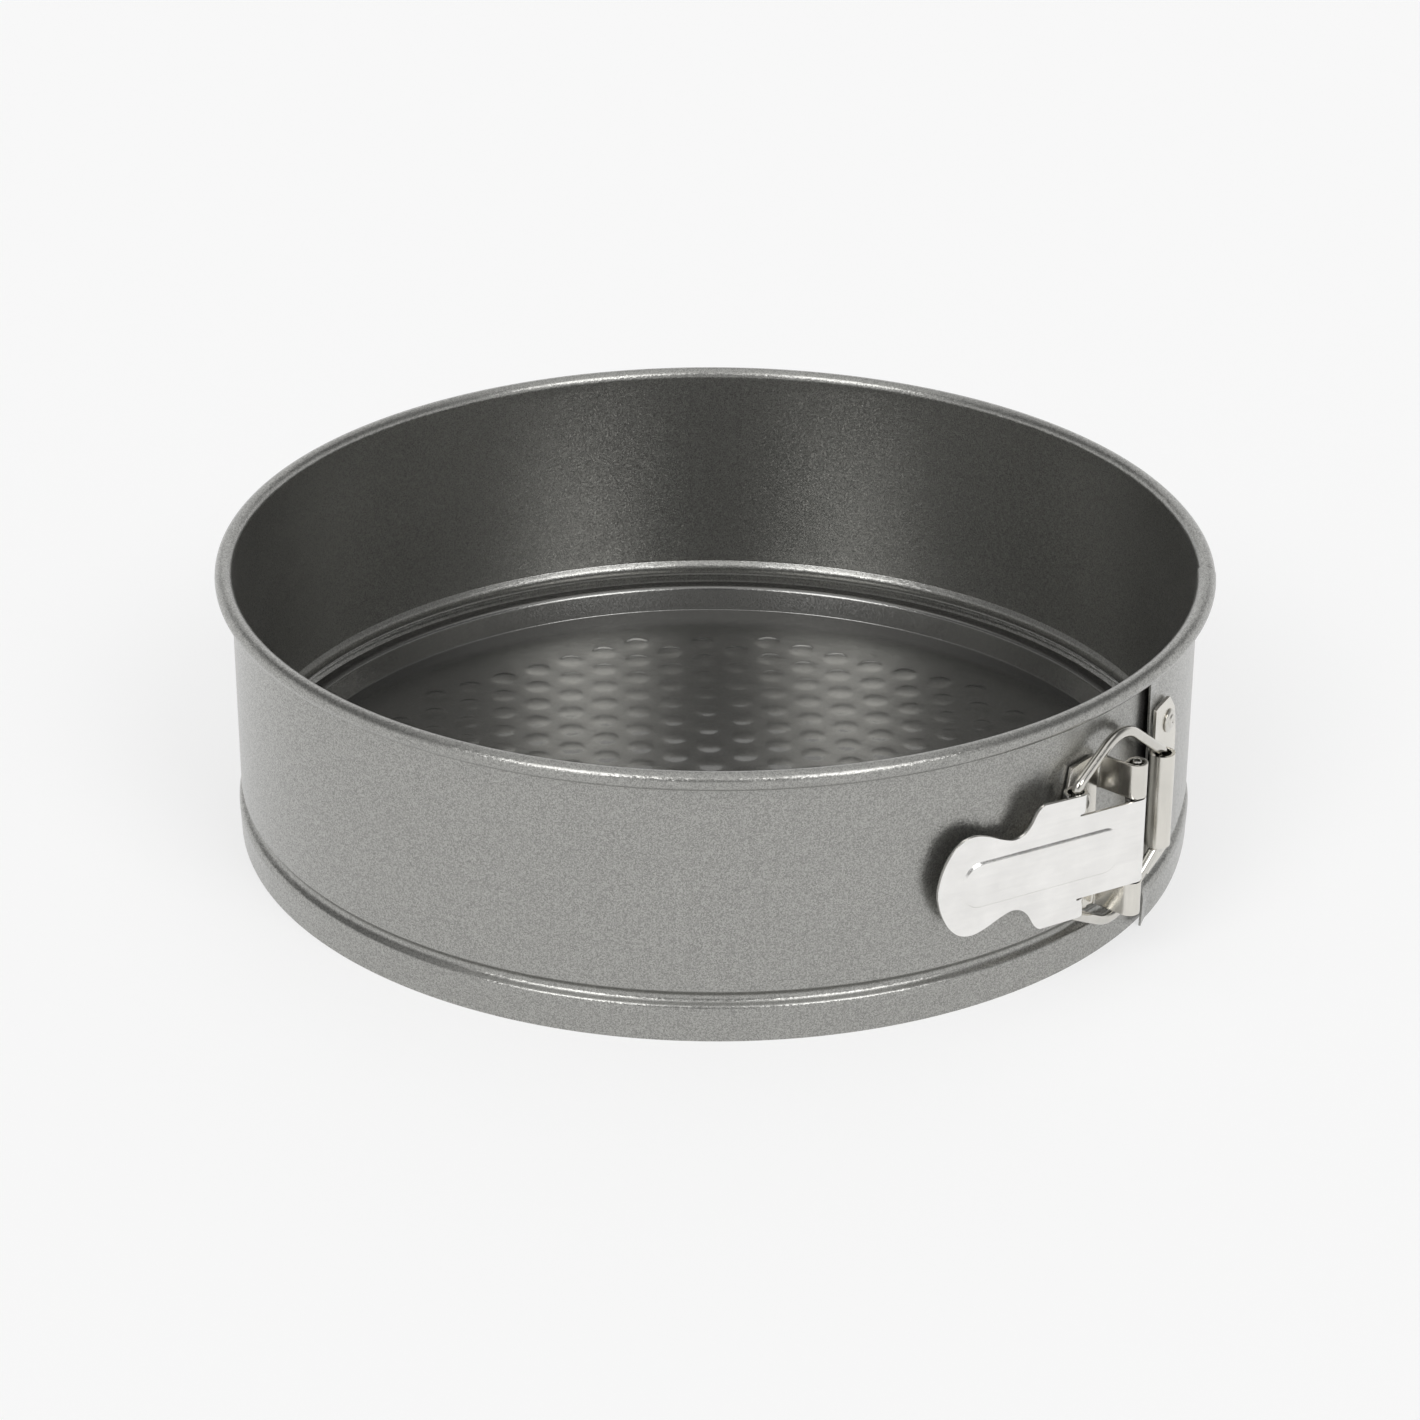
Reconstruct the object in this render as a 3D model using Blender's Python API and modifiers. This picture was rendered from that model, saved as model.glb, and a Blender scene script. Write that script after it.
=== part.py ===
"""Springform cake pan of 24 cm: a loose tray base, a sheet-steel ring in two flexing halves, and an
over-centre wire latch. Angles are bearings in degrees: 0 is -Y, 90 is +X, seen from above."""

import math

import bmesh
import bpy
from mathutils import Matrix, Vector

MM = 0.001

# Ring band: inner sheet line, all in millimetres from the pan's axis and from the table.
SHEET = 0.55
WALL_OUTER = 120.55
HEIGHT = 70.75
ROLL_RADIUS = 2.25
ROLL_END_DEG = -118.0
GROOVE_DEPTH = 1.15
GROOVE_LOW_Z = 10.9
GROOVE_HIGH_Z = 11.6
WALL_START_Z = 12.9
SKIRT_OUTER = 120.95
SHOULDER_OUTER = 121.25
SHOULDER_Z = 7.6
SHOULDER_END_Z = 9.0
RING_STEP_DEG = 4.5

# Bearings of the band's two free ends and of the line that it flexes about.
SEAM_DEG = 58.5
KINK_DEG = 85.5
FLEX_DEG = 234.0
END_GAP_DEG = 0.08
FLAP_OUT = 1.25
FLAP_FADE_DEG = 22.5
FLAP_TOP = 65.8
FLAP_ROLL_SHARE = 0.3
ROLL_OUT = 0.5

# Tray base.
BASE_SHEET = 0.75
BASE_FLOOR_RADIUS = 116.2
BASE_WALL_RADIUS = 117.3
BASE_BEND_RADIUS = 118.0
BASE_FLAT_RADIUS = 118.6
BASE_RIM_RADIUS = 119.95
BASE_RIM_Z = 7.05
BASE_STEPS = 80

# Latch: everything is centred on one level.
LATCH_Z = 35.0
PIN_DEG = 49.2
PIN_FROM_AXIS = 130.5
PIN_RADIUS = 1.1
BORE_RADIUS = 1.4
KNUCKLE_RADIUS = 2.6
BARREL_RADIUS = 2.5
LEVER_HALF = 10.9
BARREL_HALF = 10.75
KNUCKLE_LOW = 11.2
KNUCKLE_HIGH = 20.0
STRAP = 0.8

LEVER_DEG = 29.0
LEVER_FRONT = 2.6
LEVER_SHEET = 0.8
EAR_START = 14.3
EAR_HALF = 16.0
LEVER_LENGTH = 55.4
RIB_HALF = 5.3
RIB_START = 8.0
RIB_END = 48.4
RIB_RISE = 0.7

TUBE_DEG = 58.6
TUBE_FROM_AXIS = 125.4
TUBE_RADIUS = 3.1
TUBE_BORE = 2.3
TUBE_HALF = 12.3

WIRE_RADIUS = 1.2
WIRE_SEAT = (16.0, -0.7)
WIRE_ROOM = 0.5
WIRE_FLARE_AT = 19.3
WIRE_FLARE_HALF = 25.8
WIRE_TUBE_HALF = 13.0
WIRE_HOOK_HALF = 16.8

PLATE_INNER = 120.85
PLATE_DEG = 45.0
PLATE_EDGE_DEG = 43.1
PLATE_CORNER_DEG = 42.3
LEAF_INNER = 122.1
LEAF_DEG = 62.5
LEAF_NEAR_DEG = 59.6
LEAF_TOP_DEG = 63.7
LEAF_FAR_DEG = 66.1
LEAF_HALF = 22.0
RIVET_HEAD = 3.0
RIVET_SHANK = 1.4
RIVET_HOLE = 1.75
RIVET_RISE = 0.8
RIVET_GAP = 0.3
CATCH_RIVET_DEG = 62.7
CATCH_RIVET_HALF = 16.3
BRACKET_RIVET_DEG = 45.2
BRACKET_RIVET_HALF = 9.0


def clear_scene():
    for old in list(bpy.data.objects):
        bpy.data.objects.remove(old, do_unlink=True)


def collection(name):
    made = bpy.data.collections.new(name)
    bpy.context.scene.collection.children.link(made)
    return made


def material(name, color, metallic, roughness):
    made = bpy.data.materials.new(name)
    made.use_nodes = True
    shader = made.node_tree.nodes["Principled BSDF"]
    shader.inputs["Base Color"].default_value = (*color, 1.0)
    shader.inputs["Metallic"].default_value = metallic
    shader.inputs["Roughness"].default_value = roughness
    return made


def outward(bearing):
    """Unit vector away from the pan's axis."""
    angle = math.radians(bearing)
    return Vector((math.sin(angle), -math.cos(angle), 0.0))


def bearing_point(bearing, radius, z=0.0):
    """A point in metres, from a bearing and a radius and level in millimetres."""
    return (outward(bearing) * radius + Vector((0.0, 0.0, z))) * MM


def wall_frame(bearing, radius, z=0.0):
    """Frame on the wall: X along the wall, -Y away from the axis, Z up."""
    turn = Matrix.Rotation(math.radians(bearing), 4, "Z")
    return Matrix.Translation(bearing_point(bearing, radius, z)) @ turn


def add_object(name, mesh, group, finish=None, frame=Matrix.Identity(4)):
    made = bpy.data.objects.new(name, mesh)
    made.matrix_world = frame
    group.objects.link(made)
    if finish:
        mesh.materials.append(finish)
    return made


def mesh_of(name, bm, smooth_deg=35.0):
    bmesh.ops.recalc_face_normals(bm, faces=bm.faces)
    mesh = bpy.data.meshes.new(name)
    bm.to_mesh(mesh)
    bm.free()
    mesh.shade_smooth()
    mesh.set_sharp_from_angle(angle=math.radians(smooth_deg))
    return mesh


def spun(name, profile, start, end, step):
    """A closed profile of (radius, z) points, turned about the pan's axis from one bearing to another."""
    bm = bmesh.new()
    verts = [bm.verts.new(bearing_point(start, radius, z)) for radius, z in profile]
    face = bm.faces.new(verts)
    steps = max(1, round((end - start) / step))
    bmesh.ops.spin(
        bm, geom=[face, *face.edges, *face.verts], cent=(0, 0, 0), axis=(0, 0, 1),
        angle=math.radians(end - start), steps=steps, use_duplicate=False,
    )
    open_edges = [edge for edge in bm.edges if len(edge.link_faces) == 1]
    if open_edges:
        bmesh.ops.contextual_create(bm, geom=open_edges)
    return mesh_of(name, bm)


def cylinder(name, radius, low, high, segments=24):
    """A vertical cylinder about the local Z axis."""
    bm = bmesh.new()
    bmesh.ops.create_cone(
        bm, cap_ends=True, segments=segments,
        radius1=radius * MM, radius2=radius * MM, depth=(high - low) * MM,
    )
    bmesh.ops.translate(bm, vec=(0, 0, (high + low) / 2 * MM), verts=bm.verts)
    return mesh_of(name, bm)


def box(name, low, high):
    """A box between two corners, in millimetres."""
    bm = bmesh.new()
    bmesh.ops.create_cube(bm, size=1.0)
    low, high = Vector(low) * MM, Vector(high) * MM
    bmesh.ops.scale(bm, vec=high - low, verts=bm.verts)
    bmesh.ops.translate(bm, vec=(high + low) / 2, verts=bm.verts)
    return mesh_of(name, bm)


def flat_outline(name, points, near, far, group, resolution=4):
    """A mesh whose outline lies in the local XZ plane and whose thickness runs from near to far along -Y.

    Each point is (x, z, handle), with a sharp VECTOR or a smooth AUTO handle."""
    curve = bpy.data.curves.new(name, "CURVE")
    curve.dimensions = "2D"
    curve.fill_mode = "BOTH"
    curve.extrude = (far - near) / 2 * MM
    curve.resolution_u = resolution
    spline = curve.splines.new("BEZIER")
    spline.bezier_points.add(len(points) - 1)
    spline.use_cyclic_u = True
    for target, (x, z, handle) in zip(spline.bezier_points, points):
        target.co = Vector((x, z, 0.0)) * MM
        target.handle_left_type = handle
        target.handle_right_type = handle
    guide = bpy.data.objects.new(name + "_outline", curve)
    group.objects.link(guide)
    graph = bpy.context.evaluated_depsgraph_get()
    mesh = bpy.data.meshes.new_from_object(guide.evaluated_get(graph))
    bpy.data.objects.remove(guide)
    bm = bmesh.new()
    bm.from_mesh(mesh)
    bmesh.ops.remove_doubles(bm, verts=bm.verts, dist=1e-6)
    stand_up = Matrix.Translation((0, -(near + far) / 2 * MM, 0)) @ Matrix.Rotation(math.radians(90), 4, "X")
    bmesh.ops.transform(bm, matrix=stand_up, verts=bm.verts)
    return mesh_of(name, bm)


def boolean(target, operation, cutter):
    modifier = target.modifiers.new(operation.lower() + "_" + cutter.name, "BOOLEAN")
    modifier.operation = operation
    modifier.object = cutter
    modifier.solver = "EXACT"


def helper(name, mesh, group, frame=Matrix.Identity(4)):
    made = add_object(name, mesh, group, frame=frame)
    made.hide_render = True
    made.display_type = "WIRE"
    return made


def arc(centre, radius, start, end, count):
    """Points on an arc, with angles in degrees from the profile's +R direction."""
    points = []
    for index in range(count):
        angle = math.radians(start + (end - start) * index / (count - 1))
        points.append((centre[0] + radius * math.cos(angle), centre[1] + radius * math.sin(angle)))
    return points


def smooth(value):
    value = min(1.0, max(0.0, value))
    return value * value * (3.0 - 2.0 * value)


def offset_line(points, distance):
    """The same open line moved to its left by a distance, with mitred corners."""
    moved = []
    for index, point in enumerate(points):
        here = Vector(point)
        ahead = (Vector(points[min(index + 1, len(points) - 1)]) - here).normalized()
        behind = (here - Vector(points[max(index - 1, 0)])).normalized()
        if index == 0:
            behind = ahead
        if index == len(points) - 1:
            ahead = behind
        normals = [Vector((-line.y, line.x)) for line in (behind, ahead)]
        miter = (normals[0] + normals[1]).normalized()
        moved.append(tuple(here + miter * distance / miter.dot(normals[0])))
    return moved


def ring_profile():
    """The band's closed cross-section: outer face up, round the rolled rim and back down the inner face."""
    centre = (WALL_OUTER - SHEET + ROLL_RADIUS, HEIGHT - ROLL_RADIUS)
    lower = [
        (SKIRT_OUTER, 0.0),
        (SHOULDER_OUTER, SHOULDER_Z),
        (SHOULDER_OUTER - 0.25, SHOULDER_END_Z),
        (WALL_OUTER - GROOVE_DEPTH, GROOVE_LOW_Z),
        (WALL_OUTER - GROOVE_DEPTH, GROOVE_HIGH_Z),
        (WALL_OUTER, WALL_START_Z),
        (WALL_OUTER, FLAP_TOP),
    ]
    inner = offset_line(lower, SHEET)
    inner.reverse()
    inside = arc(centre, ROLL_RADIUS - SHEET, 180.0, ROLL_END_DEG, 11)
    outside = arc(centre, ROLL_RADIUS, ROLL_END_DEG, 180.0, 11)
    return lower + inside + outside + inner


def shift_flap(mesh):
    """Springs the right sheet's end outward, so that it lies over the left sheet's end."""
    for vertex in mesh.vertices:
        bearing = math.degrees(math.atan2(vertex.co.x, -vertex.co.y)) % 360.0
        fade = 1.0 - smooth((bearing - KINK_DEG) / FLAP_FADE_DEG)
        roll = smooth((vertex.co.z / MM - FLAP_TOP) / ROLL_RADIUS)
        shift = FLAP_OUT * fade * (1.0 + (FLAP_ROLL_SHARE - 1.0) * roll)
        vertex.co += outward(bearing) * shift * MM


def widen_roll(mesh):
    """Opens the left sheet's rolled rim a little where it laps over the right sheet."""
    middle = WALL_OUTER - SHEET + ROLL_RADIUS
    for vertex in mesh.vertices:
        bearing = math.degrees(math.atan2(vertex.co.x, -vertex.co.y)) % 360.0
        if not SEAM_DEG - 1.0 <= bearing <= KINK_DEG + 1.0:
            continue
        reach = math.hypot(vertex.co.x, vertex.co.y) / MM - middle
        if vertex.co.z / MM < FLAP_TOP or reach <= 0.0:
            continue
        grown = smooth((bearing - SEAM_DEG) / (KINK_DEG - SEAM_DEG))
        vertex.co += outward(bearing) * ROLL_OUT * grown * reach / ROLL_RADIUS * MM


def make_base(parts, finish):
    """The tray: a flat floor, a low rounded wall and a flat rim that sits under the ring's bead."""
    top = [
        (0.0, BASE_SHEET),
        (BASE_FLOOR_RADIUS - 1.0, BASE_SHEET),
        (BASE_FLOOR_RADIUS - 0.2, BASE_SHEET + 0.6),
        (BASE_WALL_RADIUS, BASE_RIM_Z - 1.3),
        (BASE_BEND_RADIUS, BASE_RIM_Z - 0.2),
        (BASE_FLAT_RADIUS, BASE_RIM_Z),
        (BASE_RIM_RADIUS - 0.2, BASE_RIM_Z),
        (BASE_RIM_RADIUS, BASE_RIM_Z - 0.3),
    ]
    under = [
        (BASE_RIM_RADIUS, BASE_RIM_Z - 1.0),
        (BASE_RIM_RADIUS - 0.5, BASE_RIM_Z - 0.8),
        (BASE_FLAT_RADIUS + 0.1, BASE_RIM_Z - BASE_SHEET),
        (BASE_BEND_RADIUS, BASE_RIM_Z - 1.6),
        (BASE_FLOOR_RADIUS + 0.5, BASE_SHEET - 0.05),
        (BASE_FLOOR_RADIUS - 0.5, 0.0),
        (0.0, 0.0),
    ]
    bm = bmesh.new()
    verts = [bm.verts.new(Vector((radius, 0.0, z)) * MM) for radius, z in top + under]
    for first, second in zip(verts, verts[1:]):
        bm.edges.new((first, second))
    mesh = bpy.data.meshes.new("base_plate")
    bm.to_mesh(mesh)
    bm.free()
    base = add_object("base_plate", mesh, parts, finish)
    screw = base.modifiers.new("turn", "SCREW")
    screw.axis = "Z"
    screw.angle = math.tau
    screw.steps = BASE_STEPS
    screw.render_steps = BASE_STEPS
    screw.use_merge_vertices = True
    screw.merge_threshold = 0.00005
    screw.use_smooth_shade = True
    return base


def make_ring(parts, cutters, finish):
    """The band's two halves. They meet at the flex line, and lap at the latch."""
    right_mesh = spun("ring_right", ring_profile(), SEAM_DEG, FLEX_DEG - END_GAP_DEG, RING_STEP_DEG)
    shift_flap(right_mesh)
    right = add_object("ring_right", right_mesh, parts, finish)
    inside, outside, above = WALL_OUTER - 3.0, WALL_OUTER + 8.0, HEIGHT + 2.0
    trim = [(inside, FLAP_TOP), (outside, FLAP_TOP), (outside, above), (inside, above)]
    trimmer = helper(
        "flap_trim", spun("flap_trim", trim, SEAM_DEG - 2.0, KINK_DEG + 0.2, RING_STEP_DEG), cutters,
    )
    boolean(right, "DIFFERENCE", trimmer)
    left_mesh = spun("ring_left", ring_profile(), FLEX_DEG + END_GAP_DEG, KINK_DEG + 360.0, RING_STEP_DEG)
    widen_roll(left_mesh)
    left = add_object("ring_left", left_mesh, parts, finish)
    return left, right


def curved_plate(name, outline, bearing, inner, group, cutters, finish):
    """A sheet that follows the wall, cut to an outline of (x, z) points on the tangent plane."""
    sheet = [(inner, -40.0), (inner + STRAP, -40.0), (inner + STRAP, 40.0), (inner, 40.0)]
    spread = 8.0
    mesh = spun(name, sheet, bearing - spread, bearing + spread, 2.0)
    mesh.transform(Matrix.Translation((0, 0, LATCH_Z * MM)))
    plate = add_object(name, mesh, group, finish)
    prism = flat_outline(name + "_shape", outline, -6.0, 6.0, cutters)
    shape = helper(name + "_shape", prism, cutters, wall_frame(bearing, inner, LATCH_Z))
    boolean(plate, "INTERSECT", shape)
    return plate


def mirrored(points):
    """Adds the same outline below the latch's centre line."""
    return points + [(x, -z, handle) for x, z, handle in reversed(points)]


def make_bracket(parts, cutters, finish):
    """Back plate on the left sheet, two webs standing out from it, and a knuckle on each for the pin."""
    along = math.radians(1.0) * (PLATE_INNER + STRAP)
    web_x = (PIN_DEG - PLATE_DEG) * along - BARREL_RADIUS
    outline = mirrored([
        (web_x + STRAP, KNUCKLE_HIGH, "VECTOR"),
        ((PLATE_EDGE_DEG - PLATE_DEG) * along, KNUCKLE_HIGH, "VECTOR"),
        ((PLATE_CORNER_DEG - PLATE_DEG) * along, KNUCKLE_LOW + 0.8, "VECTOR"),
    ])
    bracket = curved_plate("hinge_bracket", outline, PLATE_DEG, PLATE_INNER, parts, cutters, finish)
    pin_frame = wall_frame(PIN_DEG, PIN_FROM_AXIS, LATCH_Z)
    reach = PIN_FROM_AXIS - PLATE_INNER - 0.3
    for side, tag in ((1.0, "upper"), (-1.0, "lower")):
        low, high = sorted((side * KNUCKLE_LOW, side * KNUCKLE_HIGH))
        bottom, top = low + 0.15, high - 0.15
        web = box("web_" + tag, (-BARREL_RADIUS, 0.0, bottom), (STRAP - BARREL_RADIUS, reach, top))
        boolean(bracket, "UNION", helper("web_" + tag, web, cutters, pin_frame))
        knuckle = cylinder("knuckle_" + tag, KNUCKLE_RADIUS, low, high)
        boolean(bracket, "UNION", helper("knuckle_" + tag, knuckle, cutters, pin_frame))
    bore = helper("knuckle_bore", cylinder("knuckle_bore", BORE_RADIUS, -30.0, 30.0), cutters, pin_frame)
    boolean(bracket, "DIFFERENCE", bore)
    return bracket


def make_pin(parts, finish):
    bm = bmesh.new()
    bmesh.ops.create_cone(
        bm, cap_ends=True, segments=24, radius1=PIN_RADIUS * MM, radius2=PIN_RADIUS * MM,
        depth=2.0 * (KNUCKLE_HIGH + 0.3) * MM,
    )
    frame = wall_frame(PIN_DEG, PIN_FROM_AXIS, LATCH_Z)
    pin = add_object("hinge_pin", mesh_of("hinge_pin", bm), parts, finish, frame)
    bevel = pin.modifiers.new("rounded_ends", "BEVEL")
    bevel.width = 0.3 * MM
    bevel.segments = 2
    bevel.limit_method = "ANGLE"
    return pin


def lever_frame():
    return Matrix.Translation(bearing_point(PIN_DEG, PIN_FROM_AXIS, LATCH_Z)) @ Matrix.Rotation(
        math.radians(LEVER_DEG), 4, "Z"
    )


def lever_outline():
    """Upper half of the lever's flat, from its hinge to its round thumb end, as (x, z, handle)."""
    return [
        (0.0, LEVER_HALF, "VECTOR"),
        (-EAR_START, LEVER_HALF, "VECTOR"),
        (-EAR_START, EAR_HALF, "VECTOR"),
        (-26.6, EAR_HALF + 0.4, "VECTOR"),
        (-28.8, 14.8, "AUTO"),
        (-30.6, 11.4, "AUTO"),
        (-34.6, 9.3, "AUTO"),
        (-39.5, 11.4, "AUTO"),
        (-45.5, 13.0, "AUTO"),
        (-51.6, 9.9, "AUTO"),
    ]


def make_lever(parts, cutters, finish):
    """Flat lever with a barrel on the pin, a raised rib, and a hook behind each ear for the wire."""
    upper = lever_outline()
    outline = upper + [(-LEVER_LENGTH, 0.0, "AUTO")] + [(x, -z, handle) for x, z, handle in reversed(upper)]
    inner = LEVER_FRONT - LEVER_SHEET
    frame = lever_frame()
    flat = flat_outline("latch_lever", outline, inner, LEVER_FRONT, cutters)
    lever = add_object("latch_lever", flat, parts, finish, frame)
    barrel = cylinder("lever_barrel", BARREL_RADIUS, -BARREL_HALF, BARREL_HALF)
    boolean(lever, "UNION", helper("lever_barrel", barrel, cutters, frame))
    rib_points = mirrored([
        (-RIB_START - 2.0, RIB_HALF - 1.5, "AUTO"),
        (-RIB_START - 5.0, RIB_HALF, "VECTOR"),
        (-RIB_END + 5.0, RIB_HALF, "VECTOR"),
        (-RIB_END + 1.2, RIB_HALF - 2.2, "AUTO"),
    ])
    rib = flat_outline("lever_rib", rib_points, LEVER_FRONT - 0.4, LEVER_FRONT + RIB_RISE, cutters)
    boolean(lever, "UNION", helper("lever_rib", rib, cutters, frame))
    wall_at = WIRE_SEAT[0] + WIRE_RADIUS + WIRE_ROOM
    lip_at = WIRE_SEAT[1] - WIRE_RADIUS - WIRE_ROOM
    lip_start = WIRE_SEAT[0] + WIRE_ROOM
    for side, tag in ((1.0, "upper"), (-1.0, "lower")):
        low, high = sorted((side * (LEVER_HALF + 1.0), side * (EAR_HALF - 0.3)))
        lip_outer = LEVER_SHEET - lip_at
        back_at = -wall_at - LEVER_SHEET
        back = box("hook_back_" + tag, (back_at, -inner - 0.3, low), (-wall_at, lip_outer, high))
        boolean(lever, "UNION", helper("hook_back_" + tag, back, cutters, frame))
        lip = box("hook_lip_" + tag, (-wall_at - 0.3, -lip_at, low), (-lip_start, lip_outer, high))
        boolean(lever, "UNION", helper("hook_lip_" + tag, lip, cutters, frame))
    bore = helper("barrel_bore", cylinder("barrel_bore", BORE_RADIUS, -30.0, 30.0), cutters, frame)
    boolean(lever, "DIFFERENCE", bore)
    return lever


def filleted(corners, count=5):
    """A closed polygon of (x, y, radius) corners, each turned into an arc."""
    points = []
    for index, (x, y, radius) in enumerate(corners):
        here = Vector((x, y))
        before = (Vector(corners[index - 1][:2]) - here).normalized()
        after = (Vector(corners[(index + 1) % len(corners)][:2]) - here).normalized()
        half = before.angle(after) / 2.0
        centre = here + (before + after).normalized() * radius / math.sin(half)
        first = here + before * radius / math.tan(half) - centre
        last = here + after * radius / math.tan(half) - centre
        turn = first.angle_signed(last)
        for step in range(count):
            angle = -turn * step / (count - 1)
            points.append(centre + Matrix.Rotation(angle, 2) @ first)
    return points


def make_bail(parts, finish):
    """Closed wire loop: one side in the catch tube, the other in the lever's hooks, wide in between."""
    tube = bearing_point(TUBE_DEG, TUBE_FROM_AXIS, LATCH_Z)
    seat = lever_frame() @ (Vector((-WIRE_SEAT[0], -WIRE_SEAT[1], 0.0)) * MM)
    reach = (seat - tube).length / MM
    heading = math.atan2(seat.y - tube.y, seat.x - tube.x) - math.pi
    corners = [
        (0.0, -WIRE_TUBE_HALF, 2.2),
        (-WIRE_FLARE_AT, -WIRE_FLARE_HALF, 5.0),
        (-reach, -WIRE_HOOK_HALF, 2.4),
        (-reach, WIRE_HOOK_HALF, 2.4),
        (-WIRE_FLARE_AT, WIRE_FLARE_HALF, 5.0),
        (0.0, WIRE_TUBE_HALF, 2.2),
    ]
    curve = bpy.data.curves.new("wire_bail", "CURVE")
    curve.dimensions = "3D"
    curve.bevel_depth = WIRE_RADIUS * MM
    curve.bevel_resolution = 2
    points = filleted(corners)
    spline = curve.splines.new("POLY")
    spline.points.add(len(points) - 1)
    spline.use_cyclic_u = True
    for target, point in zip(spline.points, points):
        target.co = (point.x * MM, 0.0, point.y * MM, 1.0)
    frame = Matrix.Translation(tube) @ Matrix.Rotation(heading, 4, "Z")
    return add_object("wire_bail", curve, parts, finish, frame)


def make_catch(parts, cutters, finish):
    """Leaf on the right sheet, with its middle rolled into the tube that holds the wire."""
    along = math.radians(1.0) * (LEAF_INNER + STRAP)
    near = (LEAF_NEAR_DEG - LEAF_DEG) * along
    neck = (TUBE_DEG - LEAF_DEG) * along - 0.6
    outline = mirrored([
        (near, LEAF_HALF, "VECTOR"),
        ((LEAF_TOP_DEG - LEAF_DEG) * along, LEAF_HALF, "VECTOR"),
        ((LEAF_FAR_DEG - LEAF_DEG) * along, LEAF_HALF - 7.5, "VECTOR"),
    ])
    outline += [
        (near, -TUBE_HALF, "VECTOR"),
        (neck, -TUBE_HALF, "VECTOR"),
        (neck, TUBE_HALF, "VECTOR"),
        (near, TUBE_HALF, "VECTOR"),
    ]
    leaf = curved_plate("catch_plate", outline, LEAF_DEG, LEAF_INNER, parts, cutters, finish)
    frame = wall_frame(TUBE_DEG, TUBE_FROM_AXIS, LATCH_Z)
    roll = helper("catch_roll", cylinder("catch_roll", TUBE_RADIUS, -TUBE_HALF, TUBE_HALF), cutters, frame)
    boolean(leaf, "UNION", roll)
    bore = helper("catch_bore", cylinder("catch_bore", TUBE_BORE, -30.0, 30.0), cutters, frame)
    boolean(leaf, "DIFFERENCE", bore)
    return leaf


def make_rivet(name, bearing, level, outer, inner, tail, parts, cutters, finish, pierced):
    """A flat-headed rivet along the outward direction. Each sheet it passes gets a clearance hole."""
    seat = outer + RIVET_GAP
    profile = [
        (0.0, seat + RIVET_RISE),
        (RIVET_HEAD * 0.7, seat + RIVET_RISE),
        (RIVET_HEAD, seat + RIVET_RISE * 0.4),
        (RIVET_HEAD, seat),
        (RIVET_SHANK, seat),
        (RIVET_SHANK, inner),
    ]
    if tail:
        profile += [(RIVET_HEAD * 0.8, inner), (RIVET_HEAD * 0.8, inner - 0.5)]
    profile.append((0.0, profile[-1][1]))
    bm = bmesh.new()
    verts = [bm.verts.new(Vector((radius, 0.0, height - outer)) * MM) for radius, height in profile]
    for first, second in zip(verts, verts[1:]):
        bm.edges.new((first, second))
    mesh = bpy.data.meshes.new(name)
    bm.to_mesh(mesh)
    bm.free()
    lie_out = wall_frame(bearing, outer, level) @ Matrix.Rotation(math.radians(90), 4, "X")
    rivet = add_object(name, mesh, parts, finish, lie_out)
    screw = rivet.modifiers.new("turn", "SCREW")
    screw.axis = "Z"
    screw.steps = 20
    screw.render_steps = 20
    screw.use_merge_vertices = True
    screw.merge_threshold = 0.00005
    hole = helper(name + "_hole", cylinder(name + "_hole", RIVET_HOLE, -4.0, 4.0), cutters, lie_out)
    for sheet in pierced:
        boolean(sheet, "DIFFERENCE", hole)
    return rivet


def main():
    clear_scene()
    parts = collection("springform_pan")
    cutters = collection("cutters")
    coating = material("nonstick_coating", (0.13, 0.13, 0.125), 0.7, 0.42)
    nickel = material("nickel_plate", (0.78, 0.77, 0.74), 1.0, 0.16)
    make_base(parts, coating)
    left, right = make_ring(parts, cutters, coating)
    bracket = make_bracket(parts, cutters, nickel)
    make_pin(parts, nickel)
    make_lever(parts, cutters, nickel)
    make_bail(parts, nickel)
    leaf = make_catch(parts, cutters, nickel)
    leaf_face = LEAF_INNER + STRAP
    plate_face = PLATE_INNER + STRAP
    flap_middle = WALL_OUTER + FLAP_OUT - SHEET / 2.0
    wall_inside = WALL_OUTER - SHEET - 0.35
    for side, tag in ((1.0, "upper"), (-1.0, "lower")):
        level = LATCH_Z + side * CATCH_RIVET_HALF
        make_rivet(
            "catch_rivet_" + tag, CATCH_RIVET_DEG, level, leaf_face, flap_middle, False,
            parts, cutters, nickel, (leaf, right),
        )
        level = LATCH_Z + side * BRACKET_RIVET_HALF
        make_rivet(
            "bracket_rivet_" + tag, BRACKET_RIVET_DEG, level, plate_face, wall_inside, True,
            parts, cutters, nickel, (bracket, left),
        )


main()
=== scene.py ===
"""Looks of the springform pan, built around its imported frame.

Lengths are in millimetres and turned into metres with MM. A bearing is an angle in degrees about the
pan's axis: 0 is -Y, 90 is +X. Every visible sheet is pressed or rolled from a flat pattern."""

import math

import bmesh
import bpy
import numpy as np
from mathutils import Matrix, Vector
from mathutils.geometry import delaunay_2d_cdt
from mathutils.kdtree import KDTree


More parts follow.
